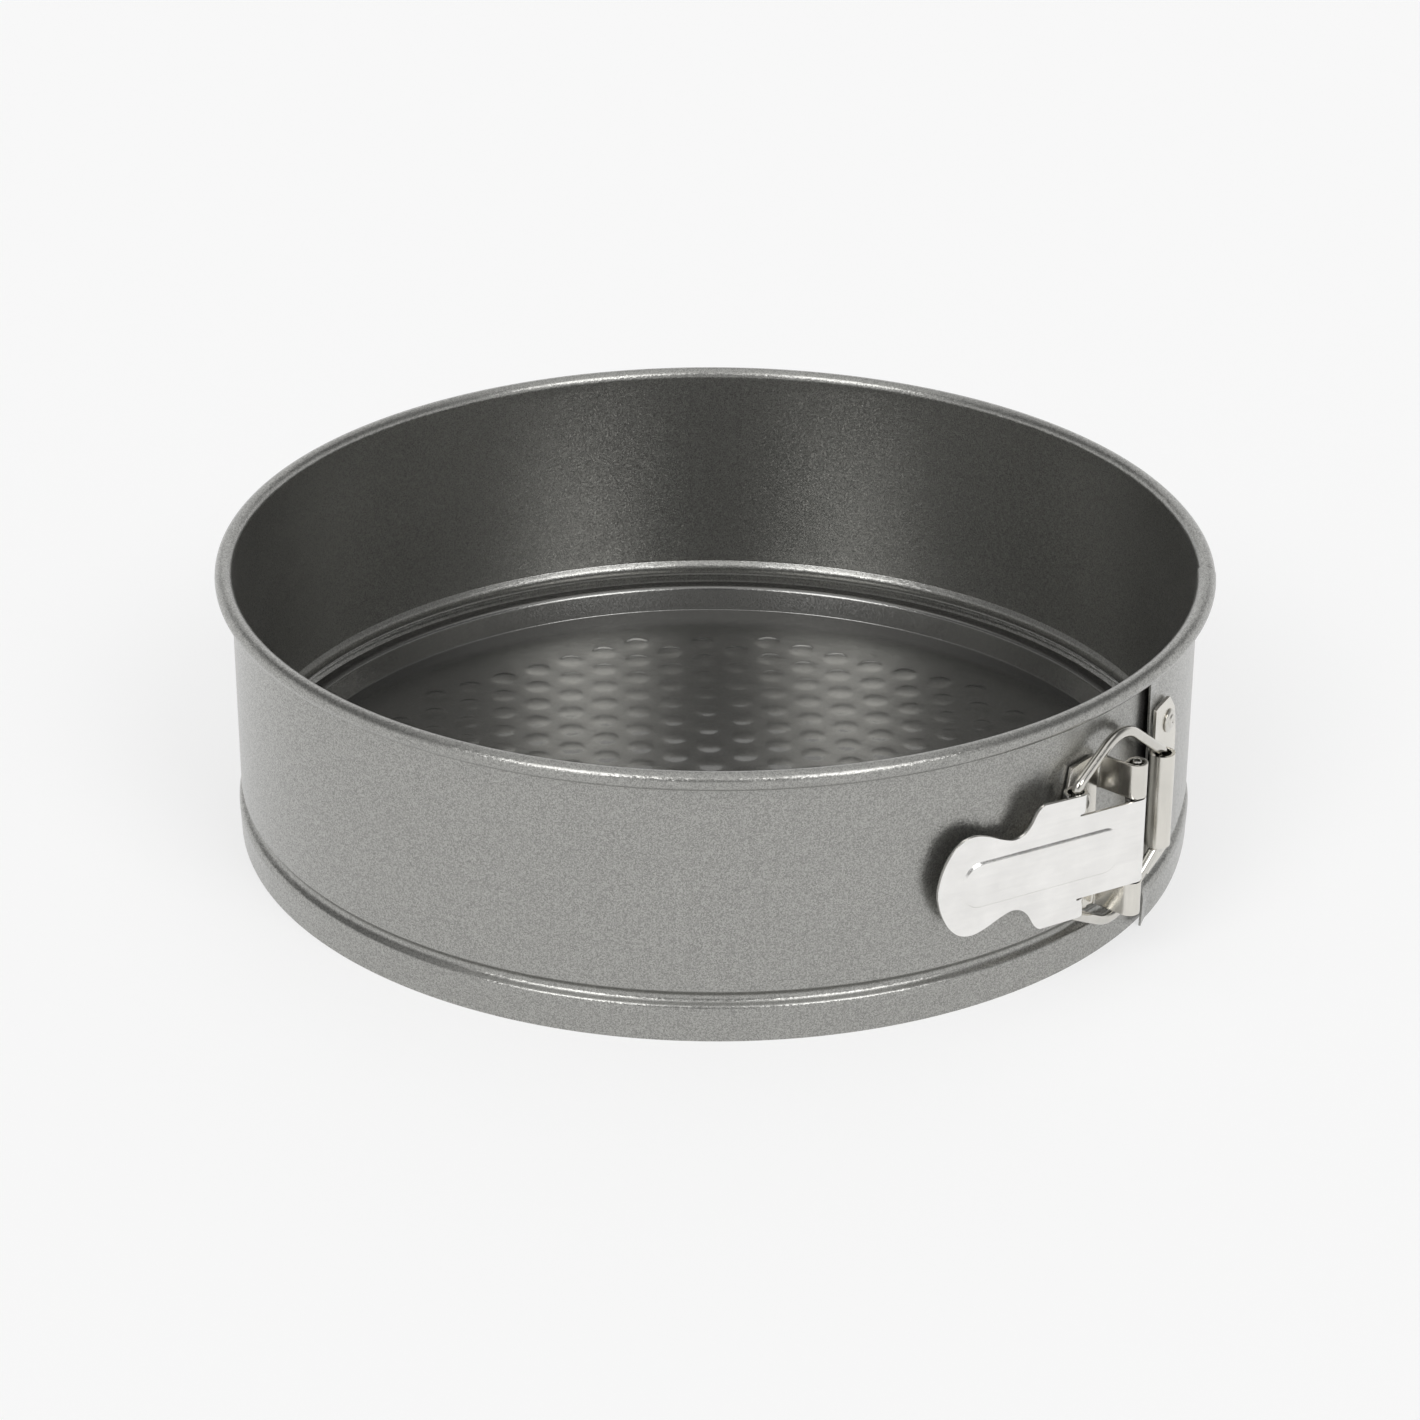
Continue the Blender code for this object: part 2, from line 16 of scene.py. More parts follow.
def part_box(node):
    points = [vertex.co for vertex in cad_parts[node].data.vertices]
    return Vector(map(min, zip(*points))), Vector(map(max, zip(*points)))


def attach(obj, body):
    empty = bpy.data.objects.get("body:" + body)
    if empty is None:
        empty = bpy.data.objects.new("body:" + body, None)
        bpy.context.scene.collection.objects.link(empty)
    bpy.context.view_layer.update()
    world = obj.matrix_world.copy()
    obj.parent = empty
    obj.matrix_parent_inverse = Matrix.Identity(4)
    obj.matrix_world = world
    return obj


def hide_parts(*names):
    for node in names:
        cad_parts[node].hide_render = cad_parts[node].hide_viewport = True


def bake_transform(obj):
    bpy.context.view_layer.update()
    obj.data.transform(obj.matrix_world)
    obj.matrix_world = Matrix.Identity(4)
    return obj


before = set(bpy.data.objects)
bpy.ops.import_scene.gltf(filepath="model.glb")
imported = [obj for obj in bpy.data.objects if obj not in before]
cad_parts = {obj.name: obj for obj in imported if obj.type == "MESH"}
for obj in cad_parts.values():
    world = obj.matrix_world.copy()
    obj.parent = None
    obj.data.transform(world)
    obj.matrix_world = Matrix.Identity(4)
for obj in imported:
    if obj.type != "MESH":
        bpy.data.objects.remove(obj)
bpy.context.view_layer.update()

MM = 0.001
BASE, LEFT, RIGHT, LEVER, BAIL = "base", "ring_left_body", "ring_right_body", "lever", "bail"

# Ring band: its section, from the skirt's foot up to the rolled rim.
SHEET = 0.55
SKIRT_OUTER = 120.95
SHOULDER_OUTER = 121.25
SHOULDER_Z = 7.6
GROOVE_OUTER = 119.4
GROOVE_Z = 10.6
GROOVE_ROUND = 1.5
WALL_OUTER = 120.55
WALL_START_Z = 12.9
FLAP_TOP = 65.8
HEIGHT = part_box("ring_left")[1].z / MM
ROLL_RADIUS = 2.25
ROLL_END_DEG = -118.0

# Ring band: bearings of the right sheet's free edge, of the place where the rolled rim's ends meet, of
# the line where the band bends, and of the left sheet's joint behind the latch.
SEAM_DEG = 57.7
KINK_DEG = 85.5
JOIN_DEG = 50.0
BAND_STEP_DEG = 1.0
BAND_GAP_DEG = 0.05

# How far the right sheet's end stands off: at the seam, near the kink, and more at its lip and foot.
FLAP_OUT = 1.25
FLAP_NEAR_OUT = 0.2
FLAP_LIP_OUT = 0.55
FLAP_FOOT_OUT = 0.45
FLAP_LIP_DEG = 1.8
FLAP_CLOSE_DEG = 78.5
FLAP_FADE_DEG = 6.0
FLAP_ROLL_OUT = 0.375
FLAP_ROLL_FADE_DEG = 22.5

# The left sheet's end: how far it is pressed in, over what height, and how far its rim opens.
LAP_IN = 0.4
LAP_FADE = 4.0
ROLL_OUT = 0.5

# Tray base.
BASE_SHEET = 0.75
FLOOR_RADIUS = 113.7
TRAY_WALL_RUN = 2.0
FIELD_RADIUS = 99.5
RIM_RADIUS = 119.95
RIM_Z = 7.05
RIM_TURN = 0.9
TRAY_STEPS = 480
DIMPLE_PITCH = 10.55
DIMPLE_RINGS = (0.9, 1.6, 2.2, 2.7, 3.1, 3.5, 4.0)
DIMPLE_EDGE = (1.6, 3.7)
DIMPLE_EDGE_RISE = 0.09
DIMPLE_DOME_RISE = 0.25
DIMPLE_TURN = Matrix.Rotation(math.radians(2.0), 2)
DIMPLE_SHIFT = Vector((0.0, -3.5))
DIMPLE_FIELD = 94.8

# Latch. A name ending in MID is the radius of the middle of a rolled sheet.
LATCH_Z = 35.0
LATCH_SHEET = 0.8
PIN_DEG = 49.2
PIN_FROM_AXIS = 130.5

# Lever, and the ears that curl round the wire.
LEVER_DEG = 29.0
LEVER_MID = 2.2
LEVER_ROLL_DEG = 295.0
LEVER_HALF = 10.9
EAR_SLOT = 0.5
EAR_ROOT = 0.3
CURL_AT = (16.7, -0.25)
CURL_MID = 2.45
CURL_DEG = 290.0
RIB_MIDDLE = 26.9
RIB_HALF_LENGTH = 21.5
RIB_HALF = 5.5
RIB_CORNER = 4.6
RIB_RISE = 0.62
RIB_EDGE = 0.8
RIB_FADE = (5.4, 9.0)
RIB_GUIDES = (-0.6, -0.4, -0.2, 0.0, 0.2, 0.4, 0.6)

# Wire: half heights of its loop in the tube, at its widest and in the ears.
WIRE_RADIUS = 1.35
WIRE_SIDES = 20
WIRE_SEAT = (16.0, -0.7)
WIRE_TUBE_HALF = 12.6
WIRE_WIDE_HALF = 26.5
WIRE_WIDE_AT = 17.8
WIRE_SEAT_HALF = 16.9

# Catch leaf, with its middle rolled into a tube.
TUBE_DEG = 58.6
TUBE_FROM_AXIS = 125.4
TUBE_MID = 2.7
TUBE_ROLL_DEG = 325.0
TUBE_HALF = 12.3
LEAF_MID = 122.5
LEAF_NEAR_DEG = 0.2
LEAF_SETTLES = 3.0

# Hinge bracket.
PLATE_MID = 121.25
KNUCKLE_LOW = 11.2
KNUCKLE_HIGH = 20.0
KNUCKLE_ROLL_DEG = 305.0
BEND_RADIUS = 1.2
WEB_LENGTH = PIN_FROM_AXIS - PLATE_MID - BEND_RADIUS

# Rivets: bearing, and height above and below the latch's middle.
CATCH_RIVET = (62.7, 16.3)
BRACKET_RIVET = (45.2, 9.0)
RIVET_STEPS = 40

# Finishes. A scale is in features per metre, a spread is the whole range about the middle value.
COAT_METAL = 0.92
COAT_WEIGHT = 0.25
COAT_ROUGH = 0.18
FLAKE_SCALE = 3800.0
MOTTLE_SCALE = 90.0
MOTTLE_SPREAD = 0.03
PATCH_SCALE = 35.0
PATCH_SPREAD = 0.03
SMUDGE_SCALE = 110.0
SMUDGE_SPREAD = 0.24
SMUDGE_ROUGH = 0.16
STREAK_SPREAD = 0.12
STREAK_ROUGH = 0.06
SPOT_SCALE = 900.0
SPOT_SHARE = 0.4
MARK_DEPTH = 0.06

# Camera.
CAMERA_ELEVATION = 26.093
CAMERA_DISTANCE = 1023.4
CAMERA_TARGET_Z = 32.4
CAMERA_LENS = 101.9
CAMERA_SENSOR = 36.0
CAMERA_PAN = -0.052
CAMERA_TILT = -0.349
CAMERA_ROLL = 0.270

# Floor: a pale sheet of paper just under the pan.
PAPER_HALF_SIDE = 6.0
PAPER_DROP = 0.08
PAPER_GREY = 0.30
PAPER_GLOW = 0.66

# Studio light. The surround and the overhead light depend on the height of the direction looked in; the
# other lights and the gap depend on how close that direction is to their own.
SURROUND = {"low": 0.12, "high": 0.62, "start": 0.95, "end": 0.16}
OVERHEAD = {"low": 0.78, "high": 0.92, "start": 0.0, "end": 0.75}
SOFTBOX_AZIMUTHS = (-34.0, 34.0)
SOFTBOX_ELEVATION = math.radians(42.0)
SOFTBOX = {"low": 0.95, "high": 0.985, "start": 0.0, "end": 4.9}
BACK_WAY = (0.77, 0.64)
BACK_LIGHT = {"low": 0.86, "high": 0.97, "start": 0.0, "end": 0.5}
CAMERA_WAY = (0.86, 0.5)
CAMERA_GAP = {"low": 0.90, "high": 0.98, "start": 1.0, "end": 0.35}


# ---------------------------------------------------------------- geometry helpers


def outward(bearing):
    angle = math.radians(bearing)
    return Vector((math.sin(angle), -math.cos(angle), 0.0))


def along(bearing):
    """Unit vector along the wall, towards greater bearings."""
    angle = math.radians(bearing)
    return Vector((math.cos(angle), math.sin(angle), 0.0))


def point_at(bearing, radius, z):
    """A point in millimetres."""
    return outward(bearing) * radius + Vector((0.0, 0.0, z))


def smooth(value):
    value = min(1.0, max(0.0, value))
    return value * value * (3.0 - 2.0 * value)


def new_object(name, mesh, finish, sharp_deg=38.0):
    mesh.shade_smooth()
    mesh.set_sharp_from_angle(angle=math.radians(sharp_deg))
    mesh.materials.clear()
    mesh.materials.append(finish)
    made = bpy.data.objects.new(name, mesh)
    bpy.context.scene.collection.objects.link(made)
    return made


def to_mesh(name, bm):
    bmesh.ops.recalc_face_normals(bm, faces=bm.faces)
    mesh = bpy.data.meshes.new(name)
    bm.to_mesh(mesh)
    bm.free()
    return mesh


def bridge(bm, rows, closed=False):
    """Quads between neighbouring rows of vertices, each row being a loop."""
    followers = rows[1:] + rows[:1] if closed else rows[1:]
    for row, following in zip(rows, followers):
        for index in range(len(row)):
            ahead = (index + 1) % len(row)
            bm.faces.new((row[index], row[ahead], following[ahead], following[index]))


def thickened(name, mesh, thickness, edge=0.0):
    """The surface turned into a sheet, half its thickness to each side, with its edges rounded off."""
    holder = bpy.data.objects.new(name + "_pattern", mesh)
    bpy.context.scene.collection.objects.link(holder)
    solid = holder.modifiers.new("thickness", "SOLIDIFY")
    solid.thickness = thickness * MM
    solid.offset = 0.0
    if edge:
        bevel = holder.modifiers.new("edge", "BEVEL")
        bevel.width = edge * MM
        bevel.segments = 2
        bevel.limit_method = "ANGLE"
        bevel.angle_limit = math.radians(60)
    graph = bpy.context.evaluated_depsgraph_get()
    thick = bpy.data.meshes.new_from_object(holder.evaluated_get(graph))
    bpy.data.objects.remove(holder)
    thick.name = name
    return thick


def filleted(corners, count=8, closed=False):
    """A line through (x, y, radius) corners, with each inner corner turned into an arc."""
    points = []
    for index, (x, y, radius) in enumerate(corners):
        here = Vector((x, y))
        at_end = not closed and index in (0, len(corners) - 1)
        if radius == 0.0 or at_end:
            points.append(here)
            continue
        before = (Vector(corners[index - 1][:2]) - here).normalized()
        after = (Vector(corners[(index + 1) % len(corners)][:2]) - here).normalized()
        half = before.angle(after) / 2.0
        centre = here + (before + after).normalized() * radius / math.sin(half)
        first = here + before * radius / math.tan(half) - centre
        last = here + after * radius / math.tan(half) - centre
        turn = first.angle_signed(last)
        for step in range(count):
            points.append(centre + Matrix.Rotation(-turn * step / (count - 1), 2) @ first)
    return points


def offset_line(points, distance):
    """The same open line moved to its left."""
    moved = []
    for index, here in enumerate(points):
        ahead = (points[min(index + 1, len(points) - 1)] - here).normalized()
        behind = (here - points[max(index - 1, 0)]).normalized()
        if index == 0:
            behind = ahead
        if index == len(points) - 1:
            ahead = behind
        normals = [Vector((-line.y, line.x)) for line in (behind, ahead)]
        miter = (normals[0] + normals[1]).normalized()
        moved.append(here + miter * distance / miter.dot(normals[0]))
    return moved


def arc(centre, radius, start, end, count):
    points = []
    for index in range(count):
        angle = math.radians(start + (end - start) * index / (count - 1))
        points.append(Vector((centre[0] + radius * math.cos(angle), centre[1] + radius * math.sin(angle))))
    return points


def swept(name, profile, bearings, shape):
    """A closed body: a closed (radius, z) profile carried round the axis through a list of bearings, with
    the shape function moving each of its points."""
    bm = bmesh.new()
    rows = []
    for bearing in bearings:
        places = [point_at(bearing, *shape(bearing, radius, z)) for radius, z in profile]
        rows.append([bm.verts.new(place * MM) for place in places])
    bridge(bm, rows)
    for row in (rows[0], rows[-1]):
        bm.faces.new(row)
    return to_mesh(name, bm)


def bearings_between(start, end):
    """Even steps, with a very short one at each end so that neighbouring pieces shade alike."""
    count = max(1, round((end - start) / BAND_STEP_DEG))
    middle = [start + (end - start) * index / count for index in range(1, count)]
    return [start, start + 0.02, *middle, end - 0.02, end]


def inside_outline(points, outline):
    """Which of the points lie inside the closed outline."""
    found = np.zeros(len(points), bool)
    x, y = points[:, 0], points[:, 1]
    for index in range(len(outline)):
        (ax, ay), (bx, by) = outline[index - 1], outline[index]
        if ay == by:
            continue
        crosses = (ay > y) != (by > y)
        found ^= crosses & (x < (bx - ax) * (y - ay) / (by - ay) + ax)
    return found


def resampled(outline, spacing):
    """The closed outline with no side longer than the spacing."""
    points = []
    for index, here in enumerate(outline):
        ahead = outline[(index + 1) % len(outline)]
        count = max(1, math.ceil((ahead - here).length / spacing))
        points += [here.lerp(ahead, step / count) for step in range(count)]
    return points


def pressed_sheet(name, outline, spacing, place, edge, guides=()):
    """A latch sheet cut to a flat outline, with each point of the flat put in its place in space. Guides
    are extra points of the flat, for a pressed line that the even lattice would blur."""
    rim = resampled([Vector(point) for point in outline], spacing)
    rim_array = np.array([tuple(point) for point in rim])
    low, high = rim_array.min(0), rim_array.max(0)
    rows = np.arange(low[1], high[1], spacing * math.sqrt(0.75))
    lattice = []
    for index, y in enumerate(rows):
        xs = np.arange(low[0] + (index % 2) * spacing / 2, high[0], spacing)
        lattice.append(np.stack([xs, np.full_like(xs, y)], 1))
    inner = np.concatenate(lattice + [np.array(guides).reshape(-1, 2)])
    inner = inner[inside_outline(inner, rim_array)]
    nearest = np.full(len(inner), np.inf)
    for x, y in rim_array:
        nearest = np.minimum(nearest, (inner[:, 0] - x) ** 2 + (inner[:, 1] - y) ** 2)
    inner = inner[nearest > (0.45 * spacing) ** 2]
    flat = rim + [Vector(point) for point in inner]
    sides = [(index, (index + 1) % len(rim)) for index in range(len(rim))]
    points, _, faces, *_ = delaunay_2d_cdt(flat, sides, [], 1, 1e-7)
    bm = bmesh.new()
    verts = [bm.verts.new(place(point.x, point.y) * MM) for point in points]
    for face in faces:
        bm.faces.new([verts[index] for index in face])
    return thickened(name, to_mesh(name, bm), LATCH_SHEET, edge)


# ---------------------------------------------------------------- materials


class Nodes:
    """Short forms for building a node tree."""

    def __init__(self, tree):
        self.tree = tree

    def add(self, kind, **values):
        node = self.tree.nodes.new(kind)
        for key, value in values.items():
            setattr(node, key, value)
        return node

    def link(self, source, target):
        self.tree.links.new(source, target)

    def fill(self, sockets, values):
        """Links each value that is a socket, and sets each one that is a number or a tuple."""
        for socket, value in zip(sockets, values):
            if isinstance(value, bpy.types.NodeSocket):
                self.link(value, socket)
            else:
                socket.default_value = value

    def math(self, operation, *values):
        node = self.add("ShaderNodeMath", operation=operation)
        self.fill(node.inputs, values)
        return node.outputs[0]

    def vector(self, operation, *values):
        node = self.add("ShaderNodeVectorMath", operation=operation)
        self.fill(node.inputs, values)
        return node.outputs["Value" if operation == "DOT_PRODUCT" else "Vector"]

    def scaled(self, vector, scale):
        node = self.add("ShaderNodeVectorMath", operation="SCALE")
        self.fill((node.inputs[0], node.inputs["Scale"]), (vector, scale))
        return node.outputs["Vector"]

    def noise(self, vector, scale, detail, roughness):
        node = self.add("ShaderNodeTexNoise")
        node.inputs["Scale"].default_value = scale
        node.inputs["Detail"].default_value = detail
        node.inputs["Roughness"].default_value = roughness
        self.link(vector, node.inputs["Vector"])
        return node.outputs["Fac"]

    def spread(self, value, amount, middle=1.0):
        """A value of 0 to 1 carried to a range of the amount about the middle."""
        return self.math("MULTIPLY_ADD", value, amount, middle - amount / 2.0)

    def ramp(self, value, low, high, start, end):
        """The value carried smoothly from low..high to start..end."""
        node = self.add("ShaderNodeMapRange", interpolation_type="SMOOTHSTEP")
        self.link(value, node.inputs["Value"])
        for key, number in (("From Min", low), ("From Max", high), ("To Min", start), ("To Max", end)):
            node.inputs[key].default_value = number
        return node.outputs["Result"]


def new_material(name, metallic):
    made = bpy.data.materials.new(name)
    made.use_nodes = True
    shader = made.node_tree.nodes["Principled BSDF"]
    shader.inputs["Metallic"].default_value = metallic
    return made, shader, Nodes(made.node_tree)


def coating_material(name, color, flake_tilt, flake_contrast, rough):
    """Dark metallic non-stick coating: fine metal flakes in a satin film, with a faint mottle."""
    made, shader, nodes = new_material(name, COAT_METAL)
    shader.inputs["Coat Weight"].default_value = COAT_WEIGHT
    shader.inputs["Coat Roughness"].default_value = COAT_ROUGH
    where = nodes.add("ShaderNodeTexCoord").outputs["Object"]
    flakes = nodes.add("ShaderNodeTexVoronoi")
    flakes.inputs["Scale"].default_value = FLAKE_SCALE
    nodes.link(where, flakes.inputs["Vector"])
    shift = nodes.vector("SUBTRACT", flakes.outputs["Color"], (0.5, 0.5, 0.5))
    normal = nodes.add("ShaderNodeNewGeometry").outputs["Normal"]
    tilted = nodes.vector("ADD", normal, nodes.scaled(shift, flake_tilt))
    nodes.link(nodes.vector("NORMALIZE", tilted), shader.inputs["Normal"])
    level = nodes.add("ShaderNodeSeparateColor")
    nodes.link(flakes.outputs["Color"], level.inputs["Color"])
    mottle = nodes.noise(where, MOTTLE_SCALE, 4.0, 0.6)
    flake_value = nodes.spread(level.outputs["Green"], flake_contrast)
    value = nodes.math("MULTIPLY", flake_value, nodes.spread(mottle, MOTTLE_SPREAD))
    nodes.link(nodes.scaled(color, value), shader.inputs["Base Color"])
    patchy = nodes.noise(where, PATCH_SCALE, 3.0, 0.6)
    nodes.link(nodes.spread(patchy, PATCH_SPREAD, rough), shader.inputs["Roughness"])
    return made


def nickel_material(name, color, rough, marks, grain_scale):
    """Bright nickel-plated steel, with rolling marks along one way and faint handling smudges."""
    made, shader, nodes = new_material(name, 1.0)
    where = nodes.add("ShaderNodeTexCoord").outputs["Object"]
    stretch = nodes.add("ShaderNodeMapping")
    stretch.inputs["Scale"].default_value = grain_scale
    nodes.link(where, stretch.inputs["Vector"])
    streaks = nodes.noise(stretch.outputs["Vector"], 1.0, 4.0, 0.65)
    smudge = nodes.noise(where, SMUDGE_SCALE, 4.0, 0.6)
    spots = nodes.noise(where, SPOT_SCALE, 2.0, 0.5)
    value = nodes.math("MULTIPLY", nodes.spread(smudge, SMUDGE_SPREAD), nodes.spread(streaks, STREAK_SPREAD))
    nodes.link(nodes.scaled(color, value), shader.inputs["Base Color"])
    uneven = nodes.spread(smudge, SMUDGE_ROUGH, rough)
    nodes.link(nodes.math("MULTIPLY_ADD", streaks, STREAK_ROUGH, uneven), shader.inputs["Roughness"])
    bump = nodes.add("ShaderNodeBump")
    bump.inputs["Strength"].default_value = marks
    bump.inputs["Distance"].default_value = MARK_DEPTH * MM
    nodes.link(nodes.math("ADD", streaks, nodes.math("MULTIPLY", spots, SPOT_SHARE)), bump.inputs["Height"])
    nodes.link(bump.outputs["Normal"], shader.inputs["Normal"])
    return made


# ---------------------------------------------------------------- ring band


def wall_line():
    """The band's outer face from the foot of the skirt up to where the rim begins."""
    return filleted([
        (SKIRT_OUTER, 0.0, 0.0),
        (SHOULDER_OUTER, SHOULDER_Z, 1.6),
        (SHOULDER_OUTER - 0.3, SHOULDER_Z + 1.5, 1.2),
        (GROOVE_OUTER - 0.76 * GROOVE_ROUND, GROOVE_Z, GROOVE_ROUND),
        (WALL_OUTER, WALL_START_Z, 0.9),
        (WALL_OUTER, FLAP_TOP, 0.0),
    ])


def band_profile(with_roll):
    outer = wall_line()
    inner = offset_line(outer, SHEET)
    inner.reverse()
    if not with_roll:
        return outer + inner
    centre = (WALL_OUTER - SHEET + ROLL_RADIUS, HEIGHT - ROLL_RADIUS)
    inside = arc(centre, ROLL_RADIUS - SHEET, 180.0, ROLL_END_DEG, 26)
    outside = arc(centre, ROLL_RADIUS, ROLL_END_DEG, 180.0, 34)
    return outer + inside + outside + inner


def lap_share(bearing):
    """How far the two lapped ends have closed up on each other: 0 at the seam, 1 well behind it."""
    return smooth((bearing - SEAM_DEG) / (FLAP_CLOSE_DEG - SEAM_DEG))


def sprung_out(bearing, radius, z):
    """The right sheet's end stands off the wall, to lie over the left sheet's end."""
    past = max(0.0, bearing - KINK_DEG)
    out = FLAP_OUT + (FLAP_NEAR_OUT - FLAP_OUT) * lap_share(bearing)
    lip = FLAP_LIP_OUT + FLAP_FOOT_OUT * (1.0 - smooth(z / FLAP_TOP))
    out += lip * (1.0 - smooth((bearing - SEAM_DEG) / FLAP_LIP_DEG))
    out *= 1.0 - smooth(past / FLAP_FADE_DEG)
    roll_out = FLAP_ROLL_OUT * (1.0 - smooth(past / FLAP_ROLL_FADE_DEG))
    return radius + out + (roll_out - out) * smooth((z - FLAP_TOP) / ROLL_RADIUS), z


def lapped_in(bearing, radius, z):
    """The left sheet's end is pressed in under the right one, and its rolled rim opens a little."""
    if z < FLAP_TOP:
        radius -= LAP_IN * lap_share(bearing) * smooth((FLAP_TOP - z) / LAP_FADE)
    reach = radius - (WALL_OUTER - SHEET + ROLL_RADIUS)
    if z < FLAP_TOP or reach <= 0.0:
        return radius, z
    grown = smooth((bearing - SEAM_DEG) / (KINK_DEG - SEAM_DEG))
    return radius + ROLL_OUT * grown * reach / ROLL_RADIUS, z


def make_band(finish):
    """The band is one springy strip whose long middle bends at the back and whose ends lap at the latch.
    Here the middle is one fixed piece, and each end is its own piece carried by the right or the left body.
    """
    bearings = bearings_between(KINK_DEG + BAND_GAP_DEG, JOIN_DEG + 360.0)
    main = swept("ring_band", band_profile(True), bearings, sprung_out)
    band = new_object("ring_band", main, finish)
    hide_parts("ring_left", "ring_right")
    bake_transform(band)
    bearings = bearings_between(SEAM_DEG, KINK_DEG + BAND_GAP_DEG)
    flap_mesh = swept("ring_flap", band_profile(False), bearings, sprung_out)
    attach(new_object("ring_flap", flap_mesh, finish), RIGHT)
    lap_mesh = swept("ring_lap", band_profile(True), bearings_between(JOIN_DEG, KINK_DEG), lapped_in)
    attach(new_object("ring_lap", lap_mesh, finish), LEFT)


# ---------------------------------------------------------------- tray base


def dimple_centres():
    """Centres of the dimples: a triangular lattice, turned and shifted a little, cut to a round field."""
    row_gap = DIMPLE_PITCH * math.sqrt(3.0) / 2.0
    reach = int(DIMPLE_FIELD / row_gap) + 2
    centres = []
    for column in range(-reach, reach + 1):
        for row in range(-reach, reach + 1):
            place = Vector((column * row_gap, (row + (0.5 if column % 2 else 0.0)) * DIMPLE_PITCH))
            place = DIMPLE_TURN @ (place + DIMPLE_SHIFT)
            if place.length < DIMPLE_FIELD:
                centres.append(place)
    return centres


def dimple_points(centre):
    """The dimple's centre and rings of points round it, closer together where it is steep."""
    points = [centre]
    for radius in DIMPLE_RINGS:
        count = 12 if radius < 2.0 else 20
        turn = 9.0 if radius > 3.0 else 0.0
        points += [centre + outward(360.0 * index / count + turn).xy * radius for index in range(count)]
    return points


def dimple_height(reach):
    """Rise of the floor at a distance from a dimple's centre: a low dome with a steep edge."""
    low, high = DIMPLE_EDGE
    dome = max(0.0, 1.0 - (reach / high) ** 2)
    return DIMPLE_DOME_RISE * dome + DIMPLE_EDGE_RISE * smooth((high - reach) / (high - low))


def make_base(finish):
    """Tray: a dimpled floor, a plain border, a low wall and a flat rim, all one pressed sheet."""
    bm = bmesh.new()
    turns = [360.0 * index / TRAY_STEPS for index in range(TRAY_STEPS)]
    circle = [outward(turn).xy * FIELD_RADIUS for turn in turns]
    centres = dimple_centres()
    spots = [point for centre in centres for point in dimple_points(centre)]
    sides = [(index, (index + 1) % TRAY_STEPS) for index in range(TRAY_STEPS)]
    points, _, faces, *_ = delaunay_2d_cdt(circle + spots, sides, [], 1, 1e-7)
    tree = KDTree(len(centres))
    for index, centre in enumerate(centres):
        tree.insert(centre.to_3d(), index)
    tree.balance()
    half = BASE_SHEET / 2.0
    verts = []
    for point in points:
        reach = tree.find(point.to_3d())[2]
        verts.append(bm.verts.new(Vector((point.x, point.y, half + dimple_height(reach))) * MM))
    for face in faces:
        bm.faces.new([verts[index] for index in face])
    line = filleted([
        (FIELD_RADIUS, half, 0.0),
        (FLOOR_RADIUS, half, 0.7),
        (FLOOR_RADIUS + TRAY_WALL_RUN, RIM_Z - half, 1.0),
        (RIM_RADIUS - RIM_TURN, RIM_Z - half, 0.5),
        (RIM_RADIUS - half - 0.05, RIM_Z - RIM_TURN, 0.0),
    ])
    bridge(bm, [[bm.verts.new(point_at(turn, radius, z) * MM) for turn in turns] for radius, z in line])
    bmesh.ops.remove_doubles(bm, verts=bm.verts, dist=0.00005)
    mesh = thickened("tray_base", to_mesh("tray_base", bm), BASE_SHEET)
    tray = new_object("tray_base", mesh, finish)
    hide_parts("base_plate")
    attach(tray, BASE)


# ---------------------------------------------------------------- latch


def mirrored(points):
    """Adds the lower half of an outline given from its middle line round the upper half."""
    return list(points) + [Vector((x, -y)) for x, y in reversed(points)]


def curve_through(points):
    """A smooth line through the points, six steps to each, with the ends kept."""
    made = []
    ends = [points[0] * 2 - points[1], *points, points[-1] * 2 - points[-2]]
    for first, second, third, fourth in zip(ends, ends[1:], ends[2:], ends[3:]):
        slope = third - first
        bend = 2 * first - 5 * second + 4 * third - fourth
        twist = 3 * second - first - 3 * third + fourth
        for step in range(6):
            t = step / 6
            made.append(0.5 * (2 * second + slope * t + bend * t * t + twist * t ** 3))
    return made + [points[-1]]


def pin_frame():
    """Where the lever's own frame stands, with its origin on the pin."""
    turn = Matrix.Rotation(math.radians(LEVER_DEG), 4, "Z")
    return Matrix.Translation(point_at(PIN_DEG, PIN_FROM_AXIS, LATCH_Z) * MM) @ turn


def rib_distance(u, w):
    """Signed distance from the rib's outline: negative inside."""
    x = abs(u - RIB_MIDDLE) - RIB_HALF_LENGTH + RIB_CORNER
    y = abs(w) - RIB_HALF + RIB_CORNER
    outside = math.hypot(max(x, 0.0), max(y, 0.0))
    return outside + min(max(x, y), 0.0) - RIB_CORNER


def lever_place(u, w):
    """Puts the lever's flat in its frame: -X runs to the thumb end, -Y points away from the pan."""
    if abs(w) > LEVER_HALF + EAR_SLOT / 2.0 and u < CURL_AT[0]:
        angle = (CURL_AT[0] - u) / CURL_MID
        s = CURL_AT[0] - CURL_MID * math.sin(angle)
        n = CURL_AT[1] + CURL_MID * math.cos(angle)
    elif u < 0.0:
        angle = -u / LEVER_MID
        s = -LEVER_MID * math.sin(angle)
        n = LEVER_MID * math.cos(angle)
    else:
        near, far = RIB_FADE
        fade = smooth((u - near) / (far - near))
        s, n = u, LEVER_MID + RIB_RISE * smooth(0.5 - rib_distance(u, w) / RIB_EDGE) * fade
    return Vector((-s, -n, w))


